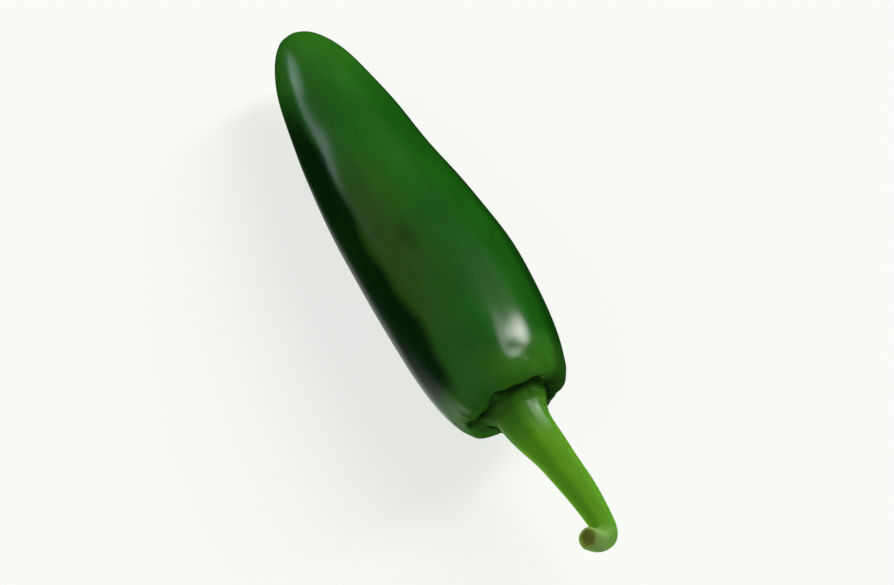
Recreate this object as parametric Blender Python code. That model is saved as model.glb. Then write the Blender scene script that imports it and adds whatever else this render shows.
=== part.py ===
"""A green chilli pepper lying on a table, as picked: the pod, the calyx on its stem end, and the cut stem.

Run with  blender --background --python part.py.  Metres, +Z up. The pod lies along X with its tip at -X.
Each piece stands clear of the next by TOUCH_GAP, so that every one is a closed solid of its own.
"""

import math

import bmesh
import bpy
import numpy as np
from mathutils import Vector

# The pod's sizes
POD_LENGTH = 0.0878
POD_RADIUS = 0.0139
TIP_GIRTH = 0.625       # share of the full radius that the pod would have at its tip
WIDEST_AT = 0.94        # share of the length, from the tip
TIP_BLUNTNESS = 0.55    # power of the sine that rounds each end: 1 is an ellipse, 0 a flat end
SHOULDER_BLUNTNESS = 0.27
BLUNT_FROM, BLUNT_TO = 0.20, 0.80  # shares of the length between which the power changes
SIDE_BOW = 0.0002       # how far the pod's middle line bows to one side
SIDE_SWAY = 0.0004      # and how far it swings to both
LOBES = 3
LOBE_HEIGHT = 0.022     # share of the radius, at the shoulder
LOBE_TURN = math.radians(238)
LOBES_FROM, LOBES_TO = 0.25, 0.80  # shares of the length over which the lobes swell
REST_AT = 0.60          # share of the length, from the tip, under the middle of the weight
BELLY_SPAN = 0.40       # at this share of the length to each side of there
BELLY_RISE = 0.0012     # the belly has risen this far
FLAT_DEPTH = 0.00035    # how much of the belly is pressed flat where it rests

# The hollow in the stem end, and the blossom scar on the tip
HOLLOW_RADIUS = 0.0080
HOLLOW_DEPTH = 0.0018
HOLLOW_STEEPNESS = 4    # power that widens the hollow's floor and steepens its side
SCAR_RADIUS = 0.0012
SCAR_HEIGHT = 0.0006

# The calyx, a saucer that follows the hollow and laps over its lip
TOUCH_GAP = 0.0003
CALYX_THICKNESS = 0.0006
CALYX_REACH = 0.0070    # from its middle to its edge between two teeth, along the pod's skin
BOSS_RADIUS = 0.0046    # the raised middle that carries the stem, as high as the end of the pod
BOSS_FLARE = 0.0016
EDGE_WAVES = 3
EDGE_WAVE = 0.03        # share of the reach
RIB_HEIGHT = 0.0002
RIB_SHARPNESS = 4       # power that narrows a rib
TEETH = (0.0017, 0.0024, 0.0034, 0.0020, 0.0015)  # how far each point runs beyond the edge
TOOTH_SHARPNESS = 28    # power of the cosine that narrows a tooth
TEETH_TURN = math.radians(47)

# The stem, a ridged stalk that narrows away from the pod and ends in a cut hook
STEM_ROUTE = (          # forward, sideways and up from the middle of its foot
    (0.0000, 0.0004, 0.0000),
    (0.0040, 0.0004, 0.0000),
    (0.0112, 0.0014, 0.0001),
    (0.0185, 0.0022, 0.0001),
    (0.0249, 0.0026, 0.0001),
    (0.0279, 0.0019, 0.0004),
    (0.0294, -0.0001, 0.0021),
    (0.0298, -0.0021, 0.0048),
)
STEM_RADII = (0.0049, 0.0043, 0.0035, 0.0029, 0.0024, 0.0021, 0.0020, 0.0019)
RIDGE_HEIGHT = 0.06     # share of the stem's radius; there is one ridge to each tooth
STEPS_PER_SPAN = 5

# How finely each piece is divided
POD_SIDES, POD_RINGS = 60, 50
CALYX_SIDES, CALYX_RINGS = 70, 28
STEM_SIDES = 30
TURN_WEIGHT = 0.010     # metres of outline that one radian of bend counts as, so bends get more rings
OUTLINE_SAMPLES = 4001
END_CROWDING = 5        # power that crowds the samples into the flat stem end
SLOPE_REACH = 0.0004    # metres to each side over which the skin's slope is taken
MERGE_WITHIN = 0.00001
SHARP_FROM = math.radians(50)


def smooth(value, low, high):
    """0 below low, 1 above high, and an even S between."""
    share = np.clip((value - low) / (high - low), 0.0, 1.0)
    return share * share * (3 - 2 * share)


def girth(share):
    """The pod's radius as a share of its widest one, along its length, before the ends are rounded."""
    return TIP_GIRTH + (1 - TIP_GIRTH) * np.sin(np.clip(share / WIDEST_AT, 0.0, 1.0) * math.pi / 2)


def pod_outline():
    """The pod's half outline as points along it: x, radius, and distance from the middle of the hollow.

    The radius is the girth times a power of the sine of an angle that is 0 at the tip and pi at the stem.
    """
    step = np.linspace(0.0, 1.0, OUTLINE_SAMPLES)
    angle = math.pi * (1 - (1 - step) ** END_CROWDING)
    share = (1 - np.cos(angle)) / 2
    power = TIP_BLUNTNESS + (SHOULDER_BLUNTNESS - TIP_BLUNTNESS) * smooth(share, BLUNT_FROM, BLUNT_TO)
    radius = POD_RADIUS * girth(share) * np.clip(np.sin(angle), 0.0, 1.0) ** power
    hollow = np.clip(1 - (radius / HOLLOW_RADIUS) ** HOLLOW_STEEPNESS, 0.0, 1.0) ** 2
    scar = np.clip(1 - (radius / SCAR_RADIUS) ** 2, 0.0, 1.0) ** 2
    x = POD_LENGTH * share - np.where(share > 0.5, HOLLOW_DEPTH * hollow, SCAR_HEIGHT * scar)
    walked = np.concatenate(([0.0], np.cumsum(np.hypot(np.diff(x), np.diff(radius)))))
    return x, radius, walked[-1] - walked


OUTLINE_X, OUTLINE_RADIUS, OUTLINE_WALK = pod_outline()


def ring_walks(rings):
    """Where the pod's rings lie along its outline: closer together where the outline bends."""
    heading = np.unwrap(np.arctan2(np.diff(OUTLINE_RADIUS), np.diff(OUTLINE_X)))
    bend = np.concatenate(([0.0], np.abs(np.diff(heading)), [0.0]))
    length = np.concatenate(([0.0], -np.diff(OUTLINE_WALK)))
    measure = np.cumsum(length + TURN_WEIGHT * bend)
    wanted = np.linspace(0.0, measure[-1], rings + 1)
    return np.interp(wanted, measure, OUTLINE_WALK)


def outline_at(walk):
    """x and radius of the pod's skin at a distance from the middle of the hollow."""
    return (
        float(np.interp(walk, OUTLINE_WALK[::-1], OUTLINE_X[::-1])),
        float(np.interp(walk, OUTLINE_WALK[::-1], OUTLINE_RADIUS[::-1])),
    )


def outline_normal(walk):
    """The direction out of the pod's skin there, as x and radius."""
    x0, r0 = outline_at(max(walk - SLOPE_REACH, 0.0))
    x1, r1 = outline_at(walk + SLOPE_REACH)
    length = math.hypot(x1 - x0, r1 - r0)
    return (r1 - r0) / length, -(x1 - x0) / length


def middle_line(x):
    """The side and the height of the pod's middle line at x. The taper is all in the pod's back."""
    share = min(max(x / POD_LENGTH, 0.0), 1.0)
    side = SIDE_BOW * (1 - (2 * share - 1) ** 2) - SIDE_SWAY * math.sin(2 * math.pi * share)
    belly = BELLY_RISE * ((share - REST_AT) / BELLY_SPAN) ** 2
    return side, belly + POD_RADIUS * float(girth(share))


def grown(x, radius, around):
    """A point of the turned shape once the pod has its lobes, its sway and its place over the table."""
    swelling = LOBE_HEIGHT * float(smooth(x / POD_LENGTH, LOBES_FROM, LOBES_TO))
    radius *= 1 + swelling * math.cos(LOBES * (around - LOBE_TURN))
    side, height = middle_line(x)
    return Vector((x, side + radius * math.cos(around), height + radius * math.sin(around)))


def shaped_sphere(name, sides, rings, place):
    """A sphere primitive whose every point is moved to place(share, around).

    Share is 0 at the sphere's upper pole and 1 at its lower one, and around is the angle about its axis.
    """
    shape = bmesh.new()
    bmesh.ops.create_uvsphere(shape, u_segments=sides, v_segments=rings, radius=1.0)
    for vertex in shape.verts:
        share = math.acos(max(-1.0, min(1.0, vertex.co.z))) / math.pi
        vertex.co = place(share, math.atan2(vertex.co.y, vertex.co.x))
    if shape.calc_volume(signed=True) < 0:
        bmesh.ops.reverse_faces(shape, faces=shape.faces)
    mesh = bpy.data.meshes.new(name)
    shape.to_mesh(mesh)
    shape.free()
    mesh.shade_smooth()
    return bpy.data.objects.new(name, mesh)


def make_pod():
    """The fruit from its blossom scar to the hollow that the calyx sits in, and the height of its belly."""
    walks = ring_walks(POD_RINGS)

    def place(share, around):
        return grown(*outline_at(walks[round(share * POD_RINGS)]), around)

    pod = shaped_sphere("pod", POD_SIDES, POD_RINGS, place)
    floor = min(vertex.co.z for vertex in pod.data.vertices) + FLAT_DEPTH
    for vertex in pod.data.vertices:
        vertex.co.z = max(vertex.co.z, floor)
    return pod, floor


def ridges(around):
    """1 on the five ridges that run from the stem to the teeth, and -1 between them."""
    return math.cos(len(TEETH) * (around - TEETH_TURN))


def calyx_reach(around):
    """How far the calyx runs from its middle along the pod: a wavy edge with a point at each tooth."""
    reach = CALYX_REACH * (1 + EDGE_WAVE * math.sin(EDGE_WAVES * around))
    for number, length in enumerate(TEETH):
        away = around - TEETH_TURN - 2 * math.pi * number / len(TEETH)
        reach += length * ((1 + math.cos(away)) / 2) ** TOOTH_SHARPNESS
    return reach


def calyx_height(walk, around):
    """The thickness of the calyx: a boss in the middle, then a thin ribbed saucer."""
    boss = POD_LENGTH - outline_at(walk)[0] - TOUCH_GAP - CALYX_THICKNESS
    boss_edge = BOSS_RADIUS * (1 + RIDGE_HEIGHT * ridges(around))
    outside = float(smooth(walk, boss_edge, boss_edge + BOSS_FLARE))
    rib = RIB_HEIGHT * ((1 + ridges(around)) / 2) ** RIB_SHARPNESS
    return CALYX_THICKNESS + boss * (1 - outside) + rib * outside


def make_calyx():
    """The green cap: a sphere pressed into a saucer, with its lower half along the pod's skin."""

    def place(share, around):
        ring = round(share * CALYX_RINGS)
        walk = calyx_reach(around) * min(ring, CALYX_RINGS - ring) / (CALYX_RINGS / 2)
        height = TOUCH_GAP
        if ring < CALYX_RINGS / 2:
            height += calyx_height(walk, around)
        elif ring == CALYX_RINGS / 2:
            height += calyx_height(walk, around) / 2
        x, radius = outline_at(walk)
        out_x, out_radius = outline_normal(walk)
        return grown(x + height * out_x, radius + height * out_radius, around)

    return shaped_sphere("calyx", CALYX_SIDES, CALYX_RINGS, place)


def smooth_route(points, steps):
    """Points along a Catmull-Rom curve through the given rows, with this many steps for each span."""
    rows = np.array(points)
    rows = np.vstack((2 * rows[0] - rows[1], rows, 2 * rows[-1] - rows[-2]))
    route = []
    for before, start, end, after in zip(rows, rows[1:], rows[2:], rows[3:]):
        for step in range(steps):
            t = step / steps
            route.append(
                0.5 * (2 * start + (end - before) * t + (2 * before - 5 * start + 4 * end - after) * t**2
                       + (3 * start - before - 3 * end + after) * t**3)
            )
    return route + [rows[-2]]


def ridged_section():
    """The stem's cross-section as a closed curve of radius 1, with a soft ridge for each tooth of the calyx.

    Along X a curve lays its section's own X towards -Y and its Y upwards.
    """
    curve = bpy.data.curves.new("stem_section", "CURVE")
    curve.dimensions = "2D"
    line = curve.splines.new("POLY")
    line.points.add(STEM_SIDES - 1)
    for number, point in enumerate(line.points):
        around = 2 * math.pi * number / STEM_SIDES
        radius = 1 + RIDGE_HEIGHT * ridges(math.pi - around)
        point.co = (radius * math.cos(around), radius * math.sin(around), 0.0, 1.0)
    line.use_cyclic_u = True
    section = bpy.data.objects.new("stem_section", curve)
    section.hide_render = True
    section.display_type = "WIRE"
    return section


def make_stem(section):
    """The stalk: the ridged section swept along the stem's route, which starts over the calyx's boss."""
    foot_x = POD_LENGTH + TOUCH_GAP
    side, height = middle_line(POD_LENGTH)
    route = smooth_route([(*point, radius) for point, radius in zip(STEM_ROUTE, STEM_RADII)], STEPS_PER_SPAN)
    curve = bpy.data.curves.new("stem_route", "CURVE")
    curve.dimensions = "3D"
    curve.bevel_mode = "OBJECT"
    curve.bevel_object = section
    curve.use_fill_caps = True
    line = curve.splines.new("POLY")
    line.points.add(len(route) - 1)
    for point, (forward, across, up, radius) in zip(line.points, route):
        point.co = (foot_x + forward, side + across, height + up, 1.0)
        point.radius = radius
    swept = bpy.data.objects.new("stem_route", curve)
    bpy.context.scene.collection.objects.link(swept)
    graph = bpy.context.evaluated_depsgraph_get()
    mesh = bpy.data.meshes.new_from_object(swept.evaluated_get(graph))
    bpy.data.objects.remove(swept)
    shape = bmesh.new()
    shape.from_mesh(mesh)
    bmesh.ops.remove_doubles(shape, verts=shape.verts, dist=MERGE_WITHIN)
    bmesh.ops.recalc_face_normals(shape, faces=shape.faces)
    shape.to_mesh(mesh)
    shape.free()
    mesh.shade_smooth()
    mesh.set_sharp_from_angle(angle=SHARP_FROM)
    return bpy.data.objects.new("stem", mesh)


def finish(name, colour, roughness, coat):
    """A waxy plant skin of one colour."""
    material = bpy.data.materials.new(name)
    material.use_nodes = True
    shader = material.node_tree.nodes["Principled BSDF"]
    shader.inputs["Base Color"].default_value = (*colour, 1.0)
    shader.inputs["Metallic"].default_value = 0.0
    shader.inputs["Roughness"].default_value = roughness
    shader.inputs["Coat Weight"].default_value = coat
    material.diffuse_color = (*colour, 1.0)
    return material


def set_down(pieces, floor):
    """Places the pieces so that the origin lies under the middle of them all, on the table."""
    points = np.array([vertex.co for piece in pieces for vertex in piece.data.vertices])
    middle = (points.min(axis=0) + points.max(axis=0)) / 2
    for piece in pieces:
        piece.location = (-middle[0], -middle[1], -floor)


def main():
    for old in list(bpy.data.objects):
        bpy.data.objects.remove(old)
    pepper = bpy.data.collections.new("chilli_pepper")
    guides = bpy.data.collections.new("guides")
    for collection in (pepper, guides):
        bpy.context.scene.collection.children.link(collection)

    section = ridged_section()
    guides.objects.link(section)
    pod, floor = make_pod()
    calyx = make_calyx()
    stem = make_stem(section)
    pod.data.materials.append(finish("pod_skin", (0.014, 0.092, 0.010), 0.25, 0.6))
    calyx.data.materials.append(finish("calyx_green", (0.045, 0.175, 0.016), 0.45, 0.1))
    stem.data.materials.append(finish("stem_green", (0.060, 0.238, 0.010), 0.40, 0.2))
    pieces = (pod, calyx, stem)
    set_down(pieces, floor)
    for piece in pieces:
        pepper.objects.link(piece)


main()
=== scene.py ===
"""The look of a green chilli pepper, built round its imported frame: the waxy pod, the toothed calyx, the stem.

Every piece is a surface of rings: rows run along the piece, and columns run round it. The pod lies along X,
with its tip at -X, on the floor at Z = 0. Lengths are in metres. Angles round the pod start at +Y and rise
to +Z. A share along the pod is 0 at its tip and 1 at its stem end.
"""

import logging
import math
from collections.abc import Mapping
from dataclasses import dataclass, field
from enum import Enum
from typing import Any

import bpy
import numpy as np
from mathutils import Matrix, Vector


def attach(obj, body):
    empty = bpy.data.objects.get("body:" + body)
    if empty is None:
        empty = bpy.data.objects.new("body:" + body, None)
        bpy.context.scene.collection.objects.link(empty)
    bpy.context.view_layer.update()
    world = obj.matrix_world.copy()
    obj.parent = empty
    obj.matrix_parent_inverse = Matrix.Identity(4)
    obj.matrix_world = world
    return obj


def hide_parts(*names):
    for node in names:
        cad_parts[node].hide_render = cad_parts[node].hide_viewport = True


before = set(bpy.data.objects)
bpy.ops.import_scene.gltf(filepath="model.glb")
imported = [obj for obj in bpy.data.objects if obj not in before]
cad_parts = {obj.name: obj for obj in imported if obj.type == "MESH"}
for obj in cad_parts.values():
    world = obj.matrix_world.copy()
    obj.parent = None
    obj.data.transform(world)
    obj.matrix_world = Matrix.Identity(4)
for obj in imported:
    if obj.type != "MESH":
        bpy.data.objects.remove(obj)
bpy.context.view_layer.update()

BODY = "root"
LOG = logging.getLogger("chilli_pepper")

Array = np.ndarray
Socket = bpy.types.NodeSocket
Span = tuple[float, float]
Triple = tuple[float, float, float]
Colour = Triple

WINDOW: Colour = (1.0, 0.99, 0.96)
DAYLIGHT: Colour = (0.76, 0.90, 1.0)


class Slot(Enum):
    """The record's material slots."""

    POD = "pod_skin"
    CALYX = "calyx_green"
    STEM = "stem_green"


class Mixing(Enum):
    """How one colour goes over another."""

    MIX = "MIX"
    MULTIPLY = "MULTIPLY"


def smooth(value: Array, low: float | Array, high: float | Array) -> Array:
    """0 below low, 1 above high, and an even S between: three times the share squared less twice its cube."""
    share = np.clip((value - low) / (high - low), 0.0, 1.0)
    return share * share * (3 - 2 * share)


def turn_between(angle: Array, middle: float) -> Array:
    """The signed angles from the middle to each angle round the pod, between minus pi and pi."""
    return (angle - middle + math.pi) % (2 * math.pi) - math.pi


def band(around: Array, middle: float, outer: float, inner: float) -> Array:
    """A soft stripe along the pod: 1 within inner degrees of its middle, and 0 beyond outer degrees."""
    away = np.degrees(np.abs(turn_between(around, math.radians(middle))))
    return smooth(away, outer, inner)


def closed_surface(
    name: str, rings: Array, start: Array, end: Array, traits: Mapping[str, Array]
) -> bpy.types.Object:
    """A closed skin over rings of points, with one point that closes each end.

    Args:
        name: The piece's name.
        rings: Points as rows by columns by three, where the last column joins the first.
        start: The point before the first ring.
        end: The point after the last ring.
        traits: A number for each point of the rings, by name, for the material to read. The two end points
            take the mean of the ring beside them.

    Returns:
        The object, at the origin, with its faces outwards and shaded smooth.
    """
    rows, columns = rings.shape[:2]
    points = np.vstack((start, rings.reshape(-1, 3), end))
    here = np.arange(columns)
    beside = (here + 1) % columns
    row = 1 + np.arange(rows - 1)[:, None] * columns
    quads = np.stack((row + here, row + beside, row + columns + beside, row + columns + here), axis=-1)
    quads = quads.reshape(-1, 4)
    last_row = 1 + (rows - 1) * columns
    first_fan = np.stack((np.zeros_like(here), 1 + beside, 1 + here), axis=-1)
    last_fan = np.stack((np.full_like(here, len(points) - 1), last_row + here, last_row + beside), axis=-1)
    corners = [quads[:, (0, 1, 2)], quads[:, (0, 2, 3)], first_fan, last_fan]
    a, b, c = (points[np.vstack(corners)[:, corner]] for corner in range(3))
    if np.einsum("ij,ij->", a, np.cross(b, c)) < 0:
        quads, first_fan, last_fan = quads[:, ::-1], first_fan[:, ::-1], last_fan[:, ::-1]
    mesh = bpy.data.meshes.new(name)
    mesh.from_pydata(points.tolist(), [], first_fan.tolist() + quads.tolist() + last_fan.tolist())
    for trait, values in traits.items():
        whole = np.concatenate(([values[0].mean()], values.ravel(), [values[-1].mean()])).astype(np.float32)
        mesh.attributes.new(trait, "FLOAT", "POINT").data.foreach_set("value", whole)
    mesh.validate()
    mesh.shade_smooth()
    piece = bpy.data.objects.new(name, mesh)
    bpy.context.scene.collection.objects.link(piece)
    return piece


@dataclass(frozen=True)
class Value:
    """A shader value: Python's operators on it add the Math nodes that work them out."""

    nodes: "Nodes"
    socket: Socket

    def _math(self, operation: str, first: Any, second: Any) -> "Value":
        """The result of one Math node, which works on two values or numbers."""
        return self.nodes.value(0, "Math", {0: first, 1: second}, operation=operation)

    def __add__(self, other: Any) -> "Value":
        """This and other together."""
        return self._math("ADD", self, other)

    __radd__ = __add__

    def __sub__(self, other: Any) -> "Value":
        """This less other."""
        return self._math("SUBTRACT", self, other)

    def __rsub__(self, other: Any) -> "Value":
        """Other less this."""
        return self._math("SUBTRACT", other, self)

    def __mul__(self, other: Any) -> "Value":
        """This times other."""
        return self._math("MULTIPLY", self, other)

    __rmul__ = __mul__


class Nodes:
    """The nodes of one material or of the world, and the ways to add to them."""

    def __init__(self, tree: bpy.types.NodeTree) -> None:
        """Takes over a node tree, which is emptied."""
        self.tree = tree
        self.tree.nodes.clear()

    def add(self, kind: str, inputs: Mapping[Any, Any] | None = None, **settings: Any) -> bpy.types.Node:
        """One node.

        Args:
            kind: The node's type, without the words that every type starts with.
            inputs: A value, a socket or a plain setting for each input, by its name or number.
            **settings: Its properties, which are set first.

        Returns:
            The node.
        """
        node = self.tree.nodes.new("ShaderNode" + kind)
        for name, setting in settings.items():
            setattr(node, name, setting)
        self.feed(node, inputs or {})
        return node

    def value(self, output: str | int, kind: str, inputs: Mapping[Any, Any], **settings: Any) -> Value:
        """One output of a new node, ready for sums."""
        return Value(self, self.add(kind, inputs, **settings).outputs[output])

    def feed(self, node: bpy.types.Node, inputs: Mapping[Any, Any]) -> None:
        """Links or sets inputs of a node.

        Args:
            node: The node.
            inputs: A value or a socket to link, or a number or a colour to set, by the input's name.
        """
        for name, given in inputs.items():
            socket = node.inputs[name]
            if isinstance(given, Value):
                given = given.socket
            if isinstance(given, Socket):
                self.tree.links.new(given, socket)
            elif isinstance(given, tuple) and socket.type == "RGBA":
                socket.default_value = (*given, 1.0)
            else:
                socket.default_value = given

    def trait(self, name: str) -> Value:
        """A number that the mesh holds for each point, by its name."""
        return self.value("Fac", "Attribute", {}, attribute_name=name)

    def place(self, scale: Triple = (1.0, 1.0, 1.0), centre: Triple = (0.0, 0.0, 0.0)) -> Socket:
        """The place on the piece, in metres, stretched about a centre.

        Args:
            scale: What each axis is multiplied by.
            centre: The point that becomes the pattern's origin.

        Returns:
            The vector.
        """
        object_place = self.add("TexCoord").outputs["Object"]
        shift = tuple(-part * size for part, size in zip(centre, scale))
        inputs = {"Vector": object_place, "Scale": scale, "Location": shift}
        return self.add("Mapping", inputs).outputs["Vector"]

    def inside(self, centre: Triple, reach: Triple) -> Value:
        """How far a place is from a centre, where 1 is the skin of an egg with these three half axes."""
        away = self.place(tuple(1 / part for part in reach), centre)
        return self.value("Value", "VectorMath", {0: away}, operation="LENGTH")

    def noise(self, place: Socket, scale: float, detail: float = 3.0) -> Value:
        """Soft random blotches from 0 to 1, so many to a unit of place, with finer and fainter ones too."""
        inputs = {"Vector": place, "Scale": scale, "Detail": detail, "Roughness": 0.5}
        return self.value("Fac", "TexNoise", inputs)

    def cells(self, place: Socket, scale: float) -> Value:
        """The distance to the nearest of many scattered points, in units of their spacing."""
        return self.value("Distance", "TexVoronoi", {"Vector": place, "Scale": scale}, feature="F1")

    def rise(self, value: Value, low: float, high: float) -> Value:
        """An even S from 0 to 1 as the value goes from low to high.

        Args:
            value: What is measured.
            low: Where the result is 0.
            high: Where the result is 1. It may be below low, and then the result falls.

        Returns:
            The value.
        """
        inputs = {"Value": value, "From Min": min(low, high), "From Max": max(low, high)}
        rising = self.value("Result", "MapRange", inputs, interpolation_type="SMOOTHSTEP")
        return rising if low < high else 1.0 - rising

    def mix(self, share: Any, under: Any, over: Any, mixing: Mixing = Mixing.MIX) -> Socket:
        """One colour over another, as far as the share says, which is kept between 0 and 1."""
        settings = {"data_type": "RGBA", "blend_type": mixing.value, "clamp_factor": True}
        return self.add("Mix", {0: share, 6: under, 7: over}, **settings).outputs[2]

    def bump(self, height: Value, distance: float, strength: float) -> Socket:
        """The surface's normal, tilted by a height that counts as so many metres when it is 1."""
        inputs = {"Height": height, "Distance": distance, "Strength": strength}
        return self.add("Bump", inputs).outputs["Normal"]


def started(name: str, inputs: Mapping[str, Any]) -> tuple[bpy.types.Material, Nodes, bpy.types.Node]:
    """A new material.

    Args:
        name: Its name.
        inputs: The settings of its shader.

    Returns:
        The material, its nodes, and its shader.
    """
    material = bpy.data.materials.new(name)
    material.use_nodes = True
    nodes = Nodes(material.node_tree)
    shader = nodes.add("BsdfPrincipled", inputs)
    nodes.add("OutputMaterial", {"Surface": shader.outputs["BSDF"]})
    return material, nodes, shader


@dataclass(frozen=True)
class Skin:
    """The gloss that every green part of the plant shares: a waxy coat over a softer surface.

    Light may also pass through the skin, for a short way, and green light goes furthest.
    """

    name: str
    coat: float
    coat_roughness: float
    specular: float
    through: float = 0.0
    through_by_colour: Triple = (0.6, 1.0, 0.2)
    through_reach: float = 0.004

    def begin(self) -> tuple[bpy.types.Material, Nodes, bpy.types.Node]:
        """A new material with this gloss, its nodes, and its shader."""
        inputs = {
            "Metallic": 0.0,
            "Coat Weight": self.coat,
            "Coat Roughness": self.coat_roughness,
            "Specular IOR Level": self.specular,
            "Subsurface Weight": self.through,
            "Subsurface Radius": self.through_by_colour,
            "Subsurface Scale": self.through_reach,
        }
        return started(self.name, inputs)


@dataclass(frozen=True)
class PodFinish(Skin):
    """The pod's skin: deep glossy green, paler at the tip and shoulder, with an olive flush, a stripe of
    painted light and a patch of painted shade on one side.
    """

    deep: Colour = (0.0060, 0.095, 0.0025)
    fresh: Colour = (0.017, 0.185, 0.007)
    tip_green: Colour = (0.040, 0.230, 0.013)
    shoulder_green: Colour = (0.050, 0.215, 0.014)
    # Painted shade: the near-black green of the dark patch and of the shade spot.
    shaded: Colour = (0.0008, 0.020, 0.0006)
    # Painted light: the paler green of a stripe along the pod, standing in for light falling there.
    pale: Colour = (0.026, 0.175, 0.009)
    olive: Colour = (0.038, 0.115, 0.0055)
    scar_brown: Colour = (0.12, 0.085, 0.035)
    speck: Colour = (0.040, 0.150, 0.030)
    flush_centre: Triple = (-0.005, -0.0085, 0.021)
    flush_reach: Triple = (0.025, 0.0085, 0.010)
    # A soft spot of painted shade, standing in for the shading of a lump.
    shade_spot_centre: Triple = (-0.0050, -0.0056, 0.0255)
    shade_spot_reach: Triple = (0.0036, 0.0017, 0.0024)

    blotch_scale: float = 38.0
    patch_scale: float = 160.0
    cloud_scale: float = 150.0
    streak_scale: float = 520.0
    speck_scale: float = 620.0
    pebble_scale: float = 900.0
    tip_share: float = 0.75
    shoulder_share: float = 0.85
    light_stripe_share: float = 0.85
    olive_share: float = 0.80
    painted_shade_share: float = 0.97
    shade_spot_share: float = 0.40
    speck_share: float = 0.30
    relief: float = 0.00003

    def material(self) -> bpy.types.Material:
        """The skin as a material.

        Broad blotches of two greens go under the paler tip and shoulder, a stripe of painted light, the olive
        flush and a patch of painted shade. Streaks along the pod and clouds then vary the tone at random, and
        pale specks and a spot of painted shade lie on top.

        Returns:
            The material.
        """
        material, nodes, shader = self.begin()
        along, scar, painted_shade_patch = nodes.trait("along"), nodes.trait("scar"), nodes.trait("painted_shade_patch")
        blotches = nodes.rise(nodes.noise(nodes.place((1.0, 1.6, 1.6)), self.blotch_scale, 4.0), 0.35, 0.68)
        patches = nodes.noise(nodes.place(), self.patch_scale)
        clouds = nodes.noise(nodes.place((0.6, 1.0, 1.0)), self.cloud_scale, 2.0)
        streaks = nodes.noise(nodes.place((0.10, 1.0, 1.0)), self.streak_scale)
        specks = nodes.rise(nodes.cells(nodes.place((0.6, 1.0, 1.0)), self.speck_scale), 0.16, 0.05)
        pebbles = nodes.noise(nodes.place((0.7, 1.0, 1.0)), self.pebble_scale, 2.0)
        tip = nodes.rise(along, 0.30, 0.02)
        shoulder = nodes.rise(along + 0.10 * patches, 0.95, 1.03)
        flush = nodes.rise(nodes.inside(self.flush_centre, self.flush_reach) + 0.7 * patches, 1.55, 0.55)
        shade_spot = nodes.rise(nodes.inside(self.shade_spot_centre, self.shade_spot_reach) + 0.8 * patches, 1.9, 0.5)

        colour = nodes.mix(0.25 + 0.55 * blotches, self.deep, self.fresh)
        colour = nodes.mix(self.tip_share * tip, colour, self.tip_green)
        colour = nodes.mix(self.shoulder_share * shoulder, colour, self.shoulder_green)
        # A stripe of painted light along one side of the pod.
        colour = nodes.mix(self.light_stripe_share * nodes.trait("painted_light_stripe"), colour, self.pale)
        colour = nodes.mix(self.olive_share * flush, colour, self.olive)
        # Painted shade down one side, with a fainter stripe of painted shade on the other.
        colour = nodes.mix(self.painted_shade_share * painted_shade_patch, colour, self.shaded)
        shade = 0.62 + 0.30 * streaks + 0.46 * clouds
        grey = nodes.add("CombineColor", {0: shade, 1: shade, 2: shade}).outputs[0]
        colour = nodes.mix(1.0, colour, grey, Mixing.MULTIPLY)
        # The spot of painted shade.
        colour = nodes.mix(self.shade_spot_share * shade_spot, colour, self.shaded)
        colour = nodes.mix(self.speck_share * specks, colour, self.speck)
        colour = nodes.mix(scar, colour, self.scar_brown)
        roughness = 0.24 + 0.16 * clouds + 0.35 * scar
        height = 4.0 * clouds + 0.35 * pebbles + 0.25 * streaks + 0.15 * specks
        tilted = nodes.bump(height, self.relief, 0.6)
        looks = {"Base Color": colour, "Roughness": roughness, "Normal": tilted, "Coat Normal": tilted}
        nodes.feed(shader, looks)
        return material


@dataclass(frozen=True)
class CalyxFinish(Skin):
    """The calyx: leathery green on its ribs, with painted shade between them, and dried brown points."""

    green: Colour = (0.028, 0.135, 0.009)
    # Painted shade: the near-black green in the pockets between the ribs.
    shade: Colour = (0.004, 0.034, 0.002)
    stalk_green: Colour = (0.060, 0.240, 0.010)
    brown: Colour = (0.020, 0.016, 0.005)
    blotch_scale: float = 420.0
    grain_scale: float = 1500.0
    dry_share: float = 0.25
    relief: float = 0.00008

    def material(self) -> bpy.types.Material:
        """The calyx as a material: green ribs, painted shade between them, the stem's green on its collar, and
        dry edges.

        Returns:
            The material.
        """
        material, nodes, shader = self.begin()
        blotches = nodes.noise(nodes.place(), self.blotch_scale, 4.0)
        # Painted shade between the ribs, and green on them.
        colour = nodes.mix(nodes.trait("rib") * nodes.rise(blotches, 0.25, 0.62), self.shade, self.green)
        colour = nodes.mix(nodes.trait("collar"), colour, self.stalk_green)
        dry = nodes.rise(nodes.trait("edge") + 0.25 * blotches, 0.94, 1.12)
        colour = nodes.mix(self.dry_share * dry, colour, self.brown)
        colour = nodes.mix(nodes.rise(nodes.trait("point") + 0.15 * blotches, 0.88, 1.02), colour, self.brown)
        roughness = 0.34 + 0.25 * blotches
        coat = self.coat * nodes.rise(nodes.trait("collar"), 0.2, 0.9)
        grain = nodes.noise(nodes.place(), self.grain_scale)
        tilted = nodes.bump(0.6 * blotches + 0.4 * grain, self.relief, 0.8)
        looks = {"Base Color": colour, "Roughness": roughness, "Coat Weight": coat, "Normal": tilted}
        nodes.feed(shader, looks)
        return material


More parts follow.
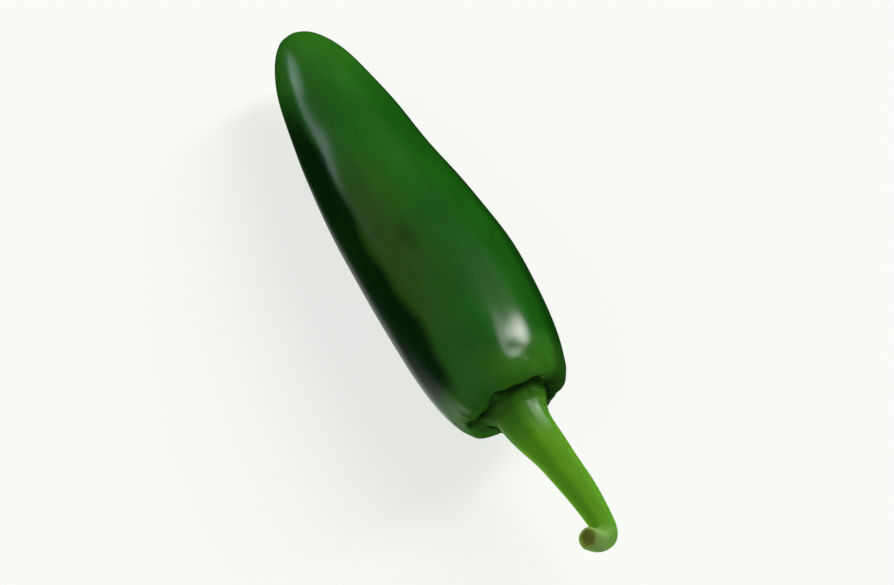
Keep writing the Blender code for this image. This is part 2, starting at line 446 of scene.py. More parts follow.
@dataclass(frozen=True)
class StemFinish(Skin):
    """The stem: yellow-green and ridged, darker by the calyx, paler at its hook, with painted shade down one
    flank and a brown cut face.
    """

    foot_green: Colour = (0.066, 0.260, 0.011)
    green: Colour = (0.175, 0.470, 0.020)
    end_green: Colour = (0.230, 0.390, 0.110)
    groove: Colour = (0.062, 0.220, 0.006)
    pale_fleck: Colour = (0.200, 0.330, 0.090)
    cut_pale: Colour = (0.260, 0.350, 0.130)
    cut_brown: Colour = (0.260, 0.250, 0.055)
    fibre_scale: float = 1500.0
    blotch_scale: float = 240.0
    crumb_scale: float = 2200.0
    # How much painted shade goes down the stem's lit flank.
    flank_shade_share: float = 0.75
    relief: float = 0.00008

    def material(self) -> bpy.types.Material:
        """The stem as a material: a gradient along it, painted shade down one flank, grooves, fine fibres and
        flecks, and the dried cut.

        Returns:
            The material.
        """
        material, nodes, shader = self.begin()
        along, cut = nodes.trait("along"), nodes.trait("cut")
        on_cut = nodes.rise(cut, 0.02, 0.10)
        fibres = nodes.noise(nodes.place((0.06, 1.0, 1.0)), self.fibre_scale)
        blotches = nodes.noise(nodes.place(), self.blotch_scale)
        crumbs = nodes.noise(nodes.place(), self.crumb_scale, 4.0)
        colour = nodes.mix(nodes.rise(along, 0.04, 0.26), self.foot_green, self.green)
        # Painted shade down the lit flank, in the foot's darker green, to even out the light.
        colour = nodes.mix(self.flank_shade_share * nodes.trait("flank_shade"), colour, self.foot_green)
        colour = nodes.mix(nodes.rise(along + 0.12 * blotches, 0.80, 1.02), colour, self.end_green)
        colour = nodes.mix((1.0 - nodes.trait("ridge")) * 0.35, colour, self.groove)
        colour = nodes.mix(0.16 * nodes.rise(fibres, 0.50, 0.75), colour, self.pale_fleck)
        colour = nodes.mix(0.20 * nodes.rise(blotches, 0.55, 0.75), colour, self.groove)
        face = nodes.mix(nodes.rise(cut + 0.25 * crumbs, 0.34, 0.58), self.cut_pale, self.cut_brown)
        colour = nodes.mix(on_cut, colour, face)
        roughness = 0.28 + 0.16 * blotches + (0.22 * nodes.rise(along, 0.12, 0.30) + 0.25 * on_cut)
        coat = self.coat * nodes.rise(along, 0.26, 0.12)
        tilted = nodes.bump(0.3 * fibres + 0.4 * blotches + 0.9 * crumbs * on_cut, self.relief, 0.6)
        looks = {"Base Color": colour, "Roughness": roughness, "Coat Weight": coat, "Normal": tilted}
        nodes.feed(shader, looks)
        return material


@dataclass(frozen=True)
class FloorFinish:
    """A plain matt floor, nearly white. It also glows a little, so that the shadows on it stay pale."""

    colour: Colour = (0.33, 0.33, 0.32)
    glow_colour: Colour = (1.0, 1.0, 0.99)
    glow: float = 0.74
    roughness: float = 0.75
    grain_scale: float = 60.0

    def material(self) -> bpy.types.Material:
        """The floor as a material, with a very faint grain.

        Returns:
            The material.
        """
        inputs = {
            "Base Color": self.colour,
            "Specular IOR Level": 0.2,
            "Emission Color": self.glow_colour,
            "Emission Strength": self.glow,
        }
        material, nodes, shader = started("pale_floor", inputs)
        grain = nodes.noise(nodes.place(), self.grain_scale, 2.0)
        nodes.feed(shader, {"Roughness": self.roughness + 0.1 * grain})
        return material


@dataclass(frozen=True)
class Form:
    """A soft swelling or dent in the pod's skin: a bell-shaped bump along the pod and round it."""

    along: float
    around: float
    length: float
    width: float
    height: float

    def rise(self, share: Array, around: Array) -> Array:
        """How far it lifts the skin.

        Args:
            share: Shares of the pod's length from its tip.
            around: Angles round the pod.

        Returns:
            The height times a bell curve of both distances, in metres.
        """
        far_along = (share - self.along) / self.length
        far_round = turn_between(around, math.radians(self.around)) / math.radians(self.width)
        return self.height * np.exp(-0.5 * (far_along**2 + far_round**2))


@dataclass
class PodForm:
    """The pod's shape, with the same sizes as the frame's, and the place of every other piece on it.

    The half outline is the girth times a power of the sine of an angle that is 0 at the tip and pi at the
    stem, less the hollow in the stem end. The girth rises along the pod as a quarter of a sine wave.
    """

    length: float = 0.0878
    radius: float = 0.0139
    tip_girth: float = 0.625
    widest_at: float = 0.94
    tip_bluntness: float = 0.55
    shoulder_bluntness: float = 0.27
    bluntness_change: Span = (0.20, 0.80)
    side_bow: float = 0.0002
    side_sway: float = 0.0004
    lobes: int = 3
    lobe_height: float = 0.022
    lobe_turn: float = math.radians(238)
    lobe_growth: Span = (0.25, 0.80)
    rest_at: float = 0.60
    belly_span: float = 0.40
    belly_rise: float = 0.0012
    hollow_radius: float = 0.0080
    hollow_depth: float = 0.0018
    scar_radius: float = 0.0012
    scar_height: float = 0.0006
    slope_reach: float = 0.0004
    shift: Triple = (-0.05964685, -0.00080008, -0.00040866)
    samples: int = 8001
    outline: Array = field(init=False)

    def __post_init__(self) -> None:
        """Works out the outline: rows of distance from the hollow's middle, x and radius."""
        angle = math.pi * (1 - (1 - np.linspace(0.0, 1.0, self.samples)) ** 5)
        share = (1 - np.cos(angle)) / 2
        change = smooth(share, *self.bluntness_change)
        power = self.tip_bluntness + (self.shoulder_bluntness - self.tip_bluntness) * change
        radius = self.radius * self.girth(share) * np.clip(np.sin(angle), 0.0, 1.0) ** power
        hollow = self.hollow_depth * np.clip(1 - (radius / self.hollow_radius) ** 4, 0.0, 1.0) ** 2
        scar = self.scar_height * np.clip(1 - (radius / self.scar_radius) ** 2, 0.0, 1.0) ** 2
        x = self.length * share - np.where(share > 0.5, hollow, scar)
        walked = np.concatenate(([0.0], np.cumsum(np.hypot(np.diff(x), np.diff(radius)))))
        self.outline = np.stack((walked[-1] - walked, x, radius))[:, ::-1]

    def girth(self, share: Array) -> Array:
        """The radius as a share of the widest, before the ends are rounded: a quarter of a sine wave."""
        quarter = np.clip(share / self.widest_at, 0.0, 1.0) * math.pi / 2
        return self.tip_girth + (1 - self.tip_girth) * np.sin(quarter)

    def at(self, walk: Array) -> tuple[Array, Array]:
        """x and radius of the outline at a distance along it from the middle of the hollow."""
        walks, x, radius = self.outline
        return np.interp(walk, walks, x), np.interp(walk, walks, radius)

    def normal(self, walk: Array) -> tuple[Array, Array]:
        """The direction out of the skin, from the slope over a short stretch of the outline.

        Args:
            walk: Distances along the outline from the middle of the hollow.

        Returns:
            The direction's parts along x and along the radius.
        """
        x0, r0 = self.at(np.maximum(walk - self.slope_reach, 0.0))
        x1, r1 = self.at(walk + self.slope_reach)
        length = np.hypot(x1 - x0, r1 - r0)
        return (r1 - r0) / length, -(x1 - x0) / length

    def shoulder_drop(self, radius: Array) -> Array:
        """How far back the stem end would lie at a radius without its hollow, from its sine and power."""
        sine = np.clip(radius / self.radius, 0.0, 1.0) ** (1 / self.shoulder_bluntness)
        return self.length * (1 - np.sqrt(1 - sine**2)) / 2

    def rings(self, count: int, turn_weight: float = 0.010) -> Array:
        """Walks of rings from the tip to the hollow's middle, closer together where the outline bends.

        Args:
            count: How many rings, without the two ends.
            turn_weight: How many metres one radian of bend counts as.

        Returns:
            The walks, falling, without the two ends.
        """
        walks, x, radius = self.outline[:, ::-1]
        heading = np.unwrap(np.arctan2(np.diff(radius), np.diff(x)))
        bend = np.concatenate(([0.0], np.abs(np.diff(heading)), [0.0]))
        measure = np.cumsum(np.concatenate(([0.0], -np.diff(walks))) + turn_weight * bend)
        return np.interp(np.linspace(0.0, measure[-1], count + 2), measure, walks)[1:-1]

    def middle(self, x: Array) -> tuple[Array, Array]:
        """The middle line: a sway to the side, over a belly that rises as a square to each end.

        Args:
            x: Distances from the tip.

        Returns:
            The line's distances to the side, and its heights.
        """
        share = np.clip(x / self.length, 0.0, 1.0)
        side = self.side_bow * (1 - (2 * share - 1) ** 2) - self.side_sway * np.sin(2 * math.pi * share)
        belly = self.belly_rise * ((share - self.rest_at) / self.belly_span) ** 2
        return side, belly + self.radius * self.girth(share)

    def grown(self, x: Array, radius: Array, around: Array, lobed: float | Array = 1.0) -> Array:
        """Points of the turned shape with its lobes, sway and height, in the frame's place.

        Args:
            x: Distances from the tip.
            radius: Distances from the middle line, before the lobes: a cosine of three turns swells them.
            around: Angles round the pod.
            lobed: How much of the lobes there is.

        Returns:
            Points, with three numbers on the last axis.
        """
        swelling = lobed * self.lobe_height * smooth(x / self.length, *self.lobe_growth)
        radius = radius * (1 + swelling * np.cos(self.lobes * (around - self.lobe_turn)))
        side, height = self.middle(x)
        across, up = side + radius * np.cos(around), height + radius * np.sin(around)
        return np.stack(np.broadcast_arrays(x, across, up), axis=-1) + np.array(self.shift)


@dataclass
class Pod:
    """The fruit: its outline turned into a skin, with soft swellings, dents and puckers, on its belly."""

    form: PodForm
    finish: PodFinish
    columns: int = 288
    rows: int = 320
    forms: tuple[Form, ...] = (
        Form(0.00, 25, 0.05, 60, -0.00070),
        Form(0.12, 185, 0.06, 34, 0.00050),
        Form(0.26, 128, 0.05, 22, -0.00016),
        Form(0.38, 28, 0.08, 30, -0.00055),
        Form(0.42, 150, 0.07, 20, 0.00018),
        Form(0.46, 100, 0.09, 18, -0.00010),
        Form(0.66, 122, 0.08, 20, 0.00012),
        Form(0.68, 25, 0.07, 32, 0.00045),
        Form(0.82, 96, 0.09, 13, -0.00020),
        Form(0.82, 152, 0.08, 24, 0.00012),
        Form(0.945, 84, 0.016, 6, -0.00012),
        Form(0.985, 99, 0.010, 9, 0.00018),
        Form(0.985, 144, 0.010, 9, 0.00018),
    )
    wave_height: float = 0.00005
    pucker_depth: float = 0.00025
    pucker_turns: int = 3
    pucker_growth: Span = (0.86, 0.985)
    lip_height: float = 0.00025
    lip_turns: int = 5
    lip_turn: float = math.radians(83)
    lip_growth: Span = (0.940, 0.990)
    wrinkle_height: float = 0.00020
    wrinkle_growth: Span = (0.962, 0.985)
    flat_end: float = 0.004
    # Where the painted shade lies: a long dark patch down one side, and a fainter dark stripe on the other.
    shade_patch_middle: float = math.radians(194)
    shade_patch_above: float = math.radians(58)
    shade_patch_below: float = math.radians(36)
    far_shade_band: Triple = (-12.0, 56.0, 40.0)
    far_shade_share: float = 0.6
    # Where the stripe of painted light lies round the pod.
    light_stripe_band: Triple = (132.0, 30.0, 4.0)

    def lift(self, share: Array, around: Array) -> Array:
        """How far the skin stands out from the plain form.

        It is the sum of the swellings and dents, two sets of crossed waves, puckers that deepen between the
        lobes towards the stem end, knuckles on the lip between the calyx's points, and fine wrinkles there.

        Args:
            share: Shares of the pod's length from its tip.
            around: Angles round the pod.

        Returns:
            The heights in metres.
        """
        waves = np.sin(17 * share + 3 * around) * np.sin(5 * around - 9 * share + 1.0)
        waves = waves + 0.6 * np.sin(31 * share - 2 * around + 0.5)
        between = (1 - np.cos(self.pucker_turns * (around - self.form.lobe_turn))) / 2
        knuckles = np.cos(self.lip_turns * (around - self.lip_turn)) + 0.3 * np.sin(3 * around + 1.0)
        wrinkles = np.sin(13 * around + 2 * np.sin(2 * around))
        wrinkles = wrinkles * np.sin(60 * share + 3 * np.sin(around + 0.6))
        lift = sum(form.rise(share, around) for form in self.forms) + self.wave_height * waves
        lift = lift - self.pucker_depth * between**6 * smooth(share, *self.pucker_growth)
        lift = lift + self.lip_height * knuckles * smooth(share, *self.lip_growth)
        return lift + self.wrinkle_height * wrinkles * smooth(share, *self.wrinkle_growth)

    def painted_shade_patch(self, share: Array, around: Array) -> Array:
        """How much painted shade the skin takes: a long patch on one side with a wavy edge, and a fainter
        stripe on the other.

        Args:
            share: Shares of the pod's length from its tip.
            around: Angles round the pod.

        Returns:
            Shares from 0 to 1. The patch is a product of S curves, two for its edges and two for its ends.
        """
        wobble = math.radians(3) * np.sin(16 * share + 1.2) + math.radians(1.5) * np.sin(41 * share)
        lower = turn_between(around + wobble, self.shade_patch_middle)
        off_middle = (lower / self.shade_patch_below + 0.5) ** 2
        patch = smooth(lower, -self.shade_patch_above, -0.80 * self.shade_patch_above)
        patch = patch * smooth(lower + 2 * wobble, self.shade_patch_below, 0.30 * self.shade_patch_below)
        patch = patch * smooth(share - 0.10 * off_middle, 0.05, 0.24)
        patch = patch * (1 - 0.85 * smooth(share + 0.05 * off_middle * (lower > 0), 0.90, 0.975))
        return patch + self.far_shade_share * band(around, *self.far_shade_band) * (1 - patch)

    def build(self) -> bpy.types.Object:
        """The pod as a closed skin that reads its outline, normal and lift at each ring and angle.

        Returns:
            The piece, riding on the frame in place of the frame's pod.
        """
        around = np.linspace(0.0, 2 * math.pi, self.columns, endpoint=False)[None, :]
        walk = self.form.rings(self.rows)[:, None]
        x, radius = self.form.at(walk)
        out_x, out_radius = self.form.normal(walk)
        share = x / self.form.length
        lift = self.lift(share, around) * smooth(radius, 0.0, self.flat_end)
        rings = self.form.grown(x + lift * out_x, radius + lift * out_radius, around)
        centre = np.array(0.0)
        tip, dimple = (self.form.grown(self.form.at(end)[0], centre, centre) for end in (1.0, 0.0))
        rings[..., 2] = np.maximum(rings[..., 2], 0.0)
        ones = np.ones_like(lift)
        scar = 1 - smooth(radius, 0.4 * self.form.scar_radius, self.form.scar_radius)
        traits = {
            "along": share * ones,
            "scar": np.where(share < 0.5, scar, 0.0) * ones,
            # Painted shade and a stripe of painted light, kept on each point for the material.
            "painted_shade_patch": self.painted_shade_patch(share, around),
            "painted_light_stripe": band(around, *self.light_stripe_band) * smooth(share, 0.20, 0.45),
        }
        piece = closed_surface("pod_skin_piece", rings, tip, dimple, traits)
        return dressed(piece, self.finish.material(), "pod")


@dataclass
class Calyx:
    """The green cap in the pod's hollow: a collar that flares out of the stem, webs, ribs and five points."""

    pod: Pod
    finish: CalyxFinish
    stem: "Stem"
    points: tuple[float, ...] = (0.0018, 0.0022, 0.0040, 0.0032, 0.0020)
    web_reach: float = 0.0062
    point_width: float = 0.50
    point_power: float = 1.3
    point_rounding: float = 0.004
    point_foot: float = 0.0632
    gap: float = 0.00005
    thickness: float = 0.00036
    edge_rounding: float = 0.0014
    rib_height: float = 0.00020
    rib_fill: float = 0.95
    rib_growth: Span = (0.0045, 0.0060)
    ripple: float = 0.00010
    round_foot: Span = (0.0050, 0.0068)
    collar_top: float = 0.0030
    collar_reach: float = 0.0018
    proud: float = 0.00005
    curl: float = 0.0002
    columns: int = 320
    rows: tuple[int, int, int, int] = (6, 40, 60, 40)

    def ribs(self, around: Array) -> Array:
        """1 on each rib and 0 between: a cosine of five turns."""
        return (1 + np.cos(len(self.points) * (around - self.stem.turn))) / 2

    def tooth(self, around: Array) -> Array:
        """How far the five points run beyond the web.

        Args:
            around: Angles round the pod.

        Returns:
            For each point its length times a power of a tent round its middle, with a rounded top.
        """
        reach = np.zeros_like(around)
        for number, length in enumerate(self.points):
            middle = self.stem.turn + 2 * math.pi * number / len(self.points)
            away = np.abs(turn_between(around, middle))
            tent = np.clip(1 - away / self.point_width, 0.0, 1.0)
            tent = np.sqrt(tent**2 + self.point_rounding) - self.point_foot
            reach = reach + length * tent**self.point_power
        return reach

    def build(self) -> bpy.types.Object:
        """The calyx as a closed surface: collar, cap and rim from above, then its underside to the middle.

        The collar leaves the stem along its side. Its height over the pod's skin is a quarter circle from
        there to level at the cap.

        Returns:
            The piece, riding on the frame in place of the frame's calyx.
        """
        around = np.linspace(0.0, 2 * math.pi, self.columns, endpoint=False)[None, :]
        inner, fillet, cap, under = self.rows
        tooth = self.tooth(around)
        reach = self.web_reach * (1 + 0.03 * np.sin(3 * around)) + tooth
        ribs = self.ribs(around)
        bend = np.linspace(0.0, math.pi / 2, fillet)[:, None]
        top = self.pod.form.length + self.collar_top
        fall_fillet = 1 - np.sin(bend)
        collar_edge = self.stem.size_near_foot(self.collar_top * fall_fillet, around)
        collar_edge = collar_edge + self.proud - 2.2 * self.proud * smooth(fall_fillet, 0.35, 1.0)
        walk_fillet = collar_edge + self.collar_reach * (1 - np.cos(bend))
        walk_in = np.linspace(0.12, 1.0, inner, endpoint=False)[:, None] * walk_fillet[:1]
        share = np.linspace(0.0, 1.0, cap + 1)[1:, None]
        walk_cap = walk_fillet[-1:] + (reach - walk_fillet[-1:]) * share
        fall = np.vstack((np.ones((inner, 1)), fall_fillet, np.zeros((cap, 1))))
        walk = np.vstack((walk_in, walk_fillet, walk_cap))
        x = self.pod.form.at(walk)[0]
        near_edge = np.clip((reach - walk) / self.edge_rounding, 0.0, 1.0)
        rounded = np.sqrt(1 - (1 - near_edge) ** 2)
        tip = smooth(walk, self.web_reach, reach)
        fill = self.pod.form.length - x - self.pod.form.shoulder_drop(self.pod.form.at(walk)[1])
        buttress = (self.rib_height + self.rib_fill * fill) * ribs**1.3 * smooth(walk, *self.rib_growth)
        ripples = self.ripple * np.sin(7 * around + 1100 * walk) * (1 - ribs)
        sheet = (self.thickness * (1 - 0.5 * tip) + buttress + ripples) * rounded
        lifted = self.gap + self._curl(walk / reach, tooth) + sheet
        height = lifted + (top - x - lifted) * fall
        upper = self._placed(walk, height, around)

        walk_under = np.linspace(0.985, 0.03, under)[:, None] * reach
        lower = self._placed(walk_under, self.gap + self._curl(walk_under / reach, tooth), around)
        rings = np.vstack((upper, lower))

        whole = np.ones_like(walk)
        below = np.zeros_like(walk_under)
        beyond = (1.0 / max(self.points)) * ribs
        traits = {
            "rib": np.vstack((ribs**1.5 * whole, below)),
            "collar": np.vstack((fall**0.6 * whole, below)),
            "edge": np.vstack((walk / reach, walk_under / reach)),
            "point": np.clip(np.vstack((walk, walk_under)) - self.web_reach, 0.0, 1.0) * beyond,
        }
        piece = closed_surface("calyx_cap", rings, rings[0].mean(axis=0), rings[-1].mean(axis=0), traits)
        return dressed(piece, self.finish.material(), "calyx")

    def _curl(self, outward: Array, tooth: Array) -> Array:
        """How far each point's end curls up from the skin: the square of an S along its last quarter."""
        share = np.clip(tooth / max(self.points), 0.0, 1.0)
        return self.curl * (smooth(outward, 0.75, 1.0) * share) ** 2

    def _placed(self, walk: Array, height: Array, around: Array) -> Array:
        """Points at a height over the pod's skin, along the stem near it and square to the skin beyond.

        Args:
            walk: Distances along the skin from the middle of the hollow.
            height: Heights over the skin.
            around: Angles round the pod.

        Returns:
            The points. Close to the stem, whose foot is round and off the middle, they have no lobes and are
            moved sideways.
        """
        x, radius = self.pod.form.at(walk)
        out_x, out_radius = self.pod.form.normal(walk)
        away = smooth(walk, *self.round_foot)
        height = height + away * self.pod.lift(x / self.pod.form.length, around)
        radius = walk + (radius - walk) * away
        out_x = 1 + (out_x - 1) * away
        out_radius = out_radius * away
        size = np.hypot(out_x, out_radius)
        x, radius = x + height * out_x / size, radius + height * out_radius / size
        points = self.pod.form.grown(x, radius, around, away)
        points[..., 1] += self.stem.route[0][1] * (1 - away)
        return points


@dataclass
class Stem:
    """The stalk: a ridged section carried along a route, with a hooked end and a dried cut face."""

    form: PodForm
    finish: StemFinish
    turn: float = math.radians(47)
    ridge_count: int = 5
    ridge_height: float = 0.024
    lump_height: float = 0.014
    end_swelling: float = 0.10
    # Where the painted shade runs along the stem's lit flank.
    flank_shade_band: Triple = (20.0, 62.0, 18.0)
    foot_ahead: float = 0.0003
    sunk: float = 0.0022
    sunk_thinner: float = 0.0005
    route: tuple[Triple, ...] = (
        (0.0000, 0.0004, 0.0000),
        (0.0040, 0.0004, 0.0000),
        (0.0112, 0.0016, 0.0001),
        (0.0185, 0.0025, 0.0001),
        (0.0249, 0.0028, 0.0001),
        (0.0280, 0.0022, 0.0006),
        (0.0294, 0.0002, 0.0024),
        (0.0295, -0.0020, 0.0051),
    )
    radii: tuple[float, ...] = (0.0049, 0.0041, 0.0032, 0.0027, 0.0022, 0.0020, 0.0019, 0.0017)
    face_rim: float = 0.00025
    face_hollow: float = 0.00045
    face_crumbs: float = 0.00003
    steps: int = 24
    foot_steps: int = 60
    columns: int = 160
    face_rows: int = 14

    def centre_line(self) -> Array:
        """A Catmull-Rom curve through the route, with one more point below its foot.

        Returns:
            Rows of place and radius.
        """
        side, height = self.form.middle(np.array(self.form.length))
        foot = np.array((self.form.length + self.foot_ahead, float(side), float(height)))
        foot = foot + np.array(self.form.shift)
        rows = np.column_stack((np.array(self.route) + foot, self.radii))
        rows = np.vstack((2 * rows[0] - rows[1], rows, 2 * rows[-1] - rows[-2]))
        t = np.linspace(0.0, 1.0, self.steps, endpoint=False)[None, :, None]
        before, start, end, after = (rows[first : len(rows) - 3 + first, None, :] for first in range(4))
        curve = 0.5 * (
            2 * start
            + (end - before) * t
            + (2 * before - 5 * start + 4 * end - after) * t**2
            + (3 * start - before - 3 * end + after) * t**3
        )
        line = np.vstack((curve.reshape(-1, 4), rows[-2]))
        return np.vstack((line[0] - np.array((self.sunk, 0.0, 0.0, self.sunk_thinner)), line))

    def frames(self, line: Array) -> tuple[Array, Array]:
        """Two directions square to the curve at each of its points, that turn with it and don't twist.

        The first starts along +Y. At each step it loses the part of it that lies along the curve.

        Args:
            line: Points along the curve.

        Returns:
            The two directions at each point.
        """
        ahead = np.gradient(line, axis=0)
        ahead /= np.linalg.norm(ahead, axis=1, keepdims=True)
        across = np.zeros_like(ahead)
        carried = np.array((0.0, 1.0, 0.0))
        for number, direction in enumerate(ahead):
            carried = carried - direction * (carried @ direction)
            carried /= np.linalg.norm(carried)
            across[number] = carried
        return across, np.cross(ahead, across)

    def section(self, along: Array, around: Array) -> Array:
        """The section's radius, where 1 is a plain circle.

        It has a ridge to each point of the calyx, which fades to the hook, fine fibres, slow lumps, and a
        swelling at the cut end.

        Args:
            along: Shares of the stem's length from its foot.
            around: Angles round the stem.

        Returns:
            One plus the sum of sine waves of the two.
        """
        ridge_height = self.ridge_height * (1 - 0.6 * smooth(along, 0.45, 0.95))
        ridges = ridge_height * np.cos(self.ridge_count * (around - self.turn))
        fine = 0.003 * np.sin(13 * around + 2.2 * np.sin(9 * along))
        fine = fine + 0.0015 * np.sin(23 * around - 14 * along)
        lumps = self.lump_height * np.sin(17 * along + 2 * around) * np.sin(3 * around + 8 * along)
        return 1 + ridges + fine + lumps + self.end_swelling * smooth(along, 0.90, 0.985)

    def size_near_foot(self, height: Array, around: Array) -> Array:
        """The stem's radius at a height over its foot, for the collar that lies round it.

        Args:
            height: Distances from the pod's end, in metres.
            around: Angles round the stem.

        Returns:
            The radii.
        """
        line = self.centre_line()
        stalk = np.linalg.norm(np.diff(line[1:, :3], axis=0), axis=1).sum()
        near = line[: self.foot_steps]
        radius = np.interp(height - self.foot_ahead, near[:, 0] - line[1, 0], near[:, 3])
        return radius * self.section(np.clip(height - self.foot_ahead, 0.0, None) / stalk, around)

    def build(self) -> bpy.types.Object:
        """The stem as a closed surface: rings along the route, then rings that shrink over the cut face.

        Returns:
            The piece, riding on the frame in place of the frame's stem.
        """
        line = self.centre_line()
        centre, radius = line[:, :3], line[:, 3]
        across, up = self.frames(centre)
        walked = np.concatenate(([0.0], np.cumsum(np.linalg.norm(np.diff(centre, axis=0), axis=1))))
        along = ((walked - walked[1]) / (walked[-1] - walked[1]))[:, None]
        around = np.linspace(0.0, 2 * math.pi, self.columns, endpoint=False)[None, :]
        ridge = np.cos(self.ridge_count * (around - self.turn))
        size = radius[:, None] * self.section(along, around)
        side = centre[:, None, :] + size[..., None] * (
            np.cos(around)[..., None] * across[:, None, :] + np.sin(around)[..., None] * up[:, None, :]
        )
        end_direction = np.cross(across[-1], up[-1])
        shrink = np.cos(np.linspace(0.0, math.pi / 2, self.face_rows + 1, endpoint=False))[1:, None]
        depth = self.face_rim * smooth(shrink, 1.0, 0.86) - self.face_hollow * smooth(shrink, 0.86, 0.35)
        depth = depth + self.face_crumbs * np.sin(5 * around + 9 * shrink) * np.sin(math.pi * shrink) ** 2
        rim = side[-1] - centre[-1]
        face = centre[-1] + rim[None] * shrink[..., None] + end_direction * depth[..., None]
        rings = np.vstack((side, face))
        on_side, on_face = np.ones_like(size), np.ones_like(depth)
        traits = {
            "along": np.vstack((np.clip(along, 0.0, 1.0) * on_side, on_face)),
            "flank_shade": np.vstack((band(around, *self.flank_shade_band) * on_side, 0 * on_face)),
            "ridge": np.vstack(((0.5 + 0.5 * ridge) * on_side, on_face)),
            "cut": np.vstack((0 * on_side, (1 - 0.9 * shrink) * on_face)),
        }
        end = face[-1].mean(axis=0)
        piece = closed_surface("stem_stalk", rings, centre[0], end, traits)
        return dressed(piece, self.finish.material(), "stem")


@dataclass(frozen=True)
class Glow:
    """A soft light in the room's dome: full within one angle of its middle, and none beyond a wider one.

    A lowest height, from -1 straight down to 1 straight up, cuts its lower part off.
    """

    direction: Triple
    inner: float
    outer: float
    radiance: float
    colour: Colour = (1.0, 1.0, 1.0)
    lowest: float = -1.0
    cut_softness: float = 0.03

    def over(self, nodes: Nodes, dome: Socket, room: Socket) -> Socket:
        """Adds the glow to a room.

        Args:
            nodes: The world's nodes.
            dome: The direction that is looked in.
            room: The light from there without this glow.

        Returns:
            The light with it: the cosine to the middle, raised as an S, times the radiance and the colour.
        """
        axis = tuple(Vector(self.direction).normalized())
        cosine = nodes.value("Value", "VectorMath", {0: dome, 1: axis}, operation="DOT_PRODUCT")
        share = nodes.rise(cosine, *(math.cos(math.radians(angle)) for angle in (self.outer, self.inner)))
        if self.lowest > -1.0:
            height = nodes.value("Z", "SeparateXYZ", {"Vector": dome})
            low, high = self.lowest - self.cut_softness, self.lowest + self.cut_softness
            share = share * nodes.rise(height, low, high)
        scaling = {0: self.colour, "Scale": self.radiance * share}
        light = nodes.add("VectorMath", scaling, operation="SCALE").outputs[0]
        return nodes.add("VectorMath", {0: room, 1: light}, operation="ADD").outputs[0]


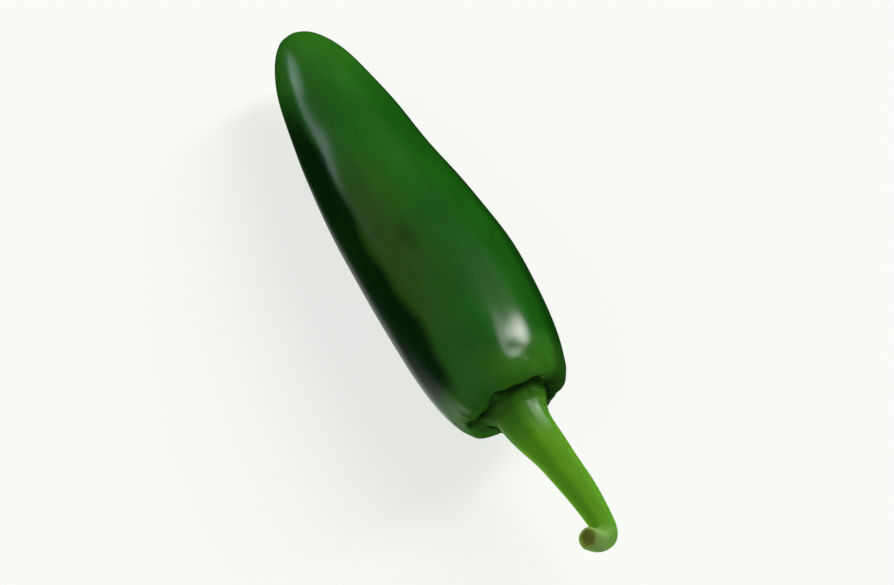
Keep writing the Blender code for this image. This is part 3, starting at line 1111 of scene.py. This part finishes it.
@dataclass
class Studio:
    """The pale floor, the soft lights, the dim room that the skin mirrors, and the camera."""

    target: Triple = (0.0013, -0.0004, 0.012)
    azimuth: float = 61.713
    elevation: float = 57.805
    roll: float = 2.415
    distance: float = 0.61502
    lens: float = 143.8
    floor_radius: float = 1.5
    floor_sides: int = 96
    horizon: Colour = (0.004, 0.006, 0.005)
    sky: Colour = (0.058, 0.072, 0.054)
    mirrored_floor: Colour = (0.75, 0.78, 0.74)
    seen: Colour = (0.965, 0.966, 0.950)
    glows: tuple[Glow, ...] = (
        Glow((-0.19, 0.86, 0.47), 2.0, 10.0, 13.0, WINDOW),
        Glow((-0.20, 0.78, 0.60), 2.0, 10.0, 13.0, WINDOW),
        Glow((-0.19, 0.67, 0.72), 2.0, 10.0, 10.0, WINDOW),
        Glow((-0.21, 0.50, 0.83), 3.0, 13.0, 6.0, WINDOW),
        Glow((-0.60, -0.10, 0.78), 20.0, 75.0, 0.18, (0.82, 1.0, 0.76), 0.22),
        Glow((0.40, -0.85, 0.20), 5.0, 60.0, 0.28, (0.85, 1.0, 0.70)),
        Glow((0.03, -0.60, -0.80), 8.0, 30.0, 0.50, (0.95, 1.0, 0.92)),
        Glow((-0.87, -0.48, 0.13), 2.0, 12.0, 3.0, DAYLIGHT, 0.02),
        Glow((-0.76, -0.65, 0.00), 3.0, 15.0, 2.2, DAYLIGHT, -0.03),
    )

    def lay_floor(self) -> None:
        """A round floor at the height that the pod lies on."""
        angle = np.linspace(0.0, 2 * math.pi, self.floor_sides, endpoint=False)
        rim = np.stack((np.cos(angle), np.sin(angle), np.zeros_like(angle)), axis=-1) * self.floor_radius
        mesh = bpy.data.meshes.new("floor")
        mesh.from_pydata(rim.tolist(), [], [list(range(self.floor_sides))])
        floor = bpy.data.objects.new("floor", mesh)
        floor.data.materials.append(FloorFinish().material())
        bpy.context.scene.collection.objects.link(floor)
        floor.visible_glossy = False

    def dim_room(self) -> None:
        """A room with soft lights, dark at the horizon as the glossy skin mirrors it, and pale to the camera.

        The floor isn't mirrored itself. Below the horizon the skin mirrors a dark room, and a pale patch
        nearly straight down.
        """
        world = bpy.data.worlds.new("studio")
        bpy.context.scene.world = world
        world.use_nodes = True
        nodes = Nodes(world.node_tree)
        direction = nodes.add("TexCoord").outputs["Generated"]
        parts = nodes.add("SeparateXYZ", {"Vector": direction}).outputs
        height, lengthwise = Value(nodes, parts["Z"]), Value(nodes, parts["X"])
        room = nodes.mix(nodes.rise(height, 0.10, 0.70), self.horizon, self.sky)
        below = nodes.rise(height, -0.79, -0.96) * nodes.rise(lengthwise, -0.16, -0.36)
        room = nodes.mix(below, room, self.mirrored_floor)
        for glow in self.glows:
            room = glow.over(nodes, direction, room)
        seen = nodes.add("LightPath").outputs["Is Camera Ray"]
        colour = nodes.mix(seen, room, self.seen)
        background = nodes.add("Background", {"Color": colour, "Strength": 1.0})
        nodes.add("OutputWorld", {"Surface": background.outputs["Background"]})

    def aim_camera(self) -> None:
        """The camera at the photograph's angle, placed by azimuth and elevation and rolled about its axis."""
        azimuth, elevation = math.radians(self.azimuth), math.radians(self.elevation)
        level = math.cos(elevation)
        back = Vector((math.sin(azimuth) * level, -math.cos(azimuth) * level, math.sin(elevation)))
        sideways = Vector((0.0, 0.0, 1.0)).cross(back).normalized()
        right = Matrix.Rotation(math.radians(self.roll), 3, back) @ sideways
        turned = Matrix((right, back.cross(right), back)).transposed().to_4x4()
        lens = bpy.data.cameras.new("camera")
        lens.lens = self.lens
        lens.sensor_width = 36.0
        lens.clip_start = 0.01
        camera = bpy.data.objects.new("camera", lens)
        camera.matrix_world = Matrix.Translation(Vector(self.target) + back * self.distance) @ turned
        bpy.context.scene.collection.objects.link(camera)
        bpy.context.scene.camera = camera

    def build(self) -> None:
        """Sets up the whole studio."""
        self.lay_floor()
        self.dim_room()
        self.aim_camera()
        bpy.context.scene.view_settings.view_transform = "Standard"


def dressed(
    piece: bpy.types.Object, material: bpy.types.Material, node: str
) -> bpy.types.Object:
    """Gives a piece its finish and ties it to the frame.

    Args:
        piece: The piece.
        material: Its finish.
        node: The frame's node that it stands for.

    Returns:
        The piece.
    """
    piece.data.materials.append(material)
    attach(piece, BODY)
    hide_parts(node)
    return piece


def main() -> None:
    """Builds the pepper piece by piece, then the studio, and reports each piece."""
    logging.basicConfig(level=logging.INFO, format="%(name)s: %(message)s")
    form = PodForm()
    rind = StemFinish("stem_rind", coat=0.30, coat_roughness=0.25, specular=0.06, through=0.60)
    leather = CalyxFinish("calyx_leather", coat=0.12, coat_roughness=0.25, specular=0.10, through=0.45)
    stem = Stem(form, rind)
    pod = Pod(form, PodFinish("pod_wax", coat=0.62, coat_roughness=0.16, specular=0.06))
    for part in (pod, Calyx(pod, leather, stem), stem):
        piece = part.build()
        LOG.info("%s has %d faces", piece.name, len(piece.data.polygons))
    Studio().build()


if __name__ == "__main__":
    main()
